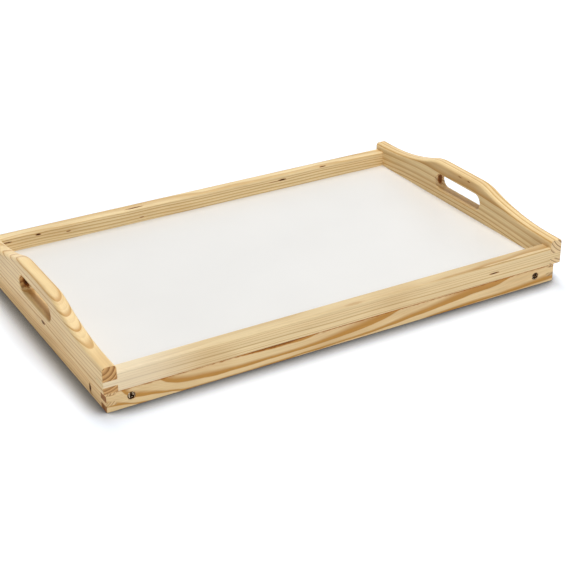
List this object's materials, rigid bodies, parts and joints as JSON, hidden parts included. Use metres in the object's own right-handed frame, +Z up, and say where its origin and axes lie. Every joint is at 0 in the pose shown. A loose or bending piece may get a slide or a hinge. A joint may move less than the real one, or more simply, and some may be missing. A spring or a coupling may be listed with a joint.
{
  "type": "bed tray table",
  "caption": "Pine bed tray with arched hand-hole ends, a white panel in a finger-jointed frame, and legs that fold flat into a lower frame on screw pivots.",
  "frame": {"origin": "middle of the plan, at the underside of the lower frame, where the tray stands with its legs folded", "axes": "+X along the length to the right end board, -Y to the front, +Z up"},
  "size_m": [0.52, 0.331, 0.0692],
  "materials": {
    "tray_pine": "clear satin lacquer on planed pine",
    "lower_pine": "clear satin lacquer on planed pine",
    "leg_pine": "clear satin lacquer on planed pine",
    "white_board": "white satin film on hardboard, bare brown below",
    "screw_steel": "dull plated steel",
    "washer_steel": "dull plated steel"
  },
  "bodies": {
    "tray": {"left_end_board": "tray_pine", "right_end_board": "tray_pine", "front_rail": "tray_pine", "rear_rail": "tray_pine", "tray_panel": "white_board", "front_lower_board": "lower_pine", "rear_lower_board": "lower_pine", "left_lower_board": "lower_pine", "right_lower_board": "lower_pine"},
    "left_leg": {"left_leg_front_arm": "leg_pine", "left_leg_rear_arm": "leg_pine", "left_leg_foot_rail": "leg_pine", "left_front_pivot_screw": "screw_steel", "left_rear_pivot_screw": "screw_steel", "left_front_pivot_washer": "washer_steel", "left_rear_pivot_washer": "washer_steel"},
    "right_leg": {"right_leg_front_arm": "leg_pine", "right_leg_rear_arm": "leg_pine", "right_leg_foot_rail": "leg_pine", "right_front_pivot_screw": "screw_steel", "right_rear_pivot_screw": "screw_steel", "right_front_pivot_washer": "washer_steel", "right_rear_pivot_washer": "washer_steel"}
  },
  "joints": [
    {"name": "left_leg_fold", "type": "hinge", "parent": "tray", "child": "left_leg", "pos_m": [-0.2315, 0, 0.0113], "axis": [0, 1, 0], "range_deg": [0, 90]},
    {"name": "right_leg_fold", "type": "hinge", "parent": "tray", "child": "right_leg", "pos_m": [0.2315, 0, 0.0113], "axis": [0, -1, 0], "range_deg": [0, 90]}
  ]
}
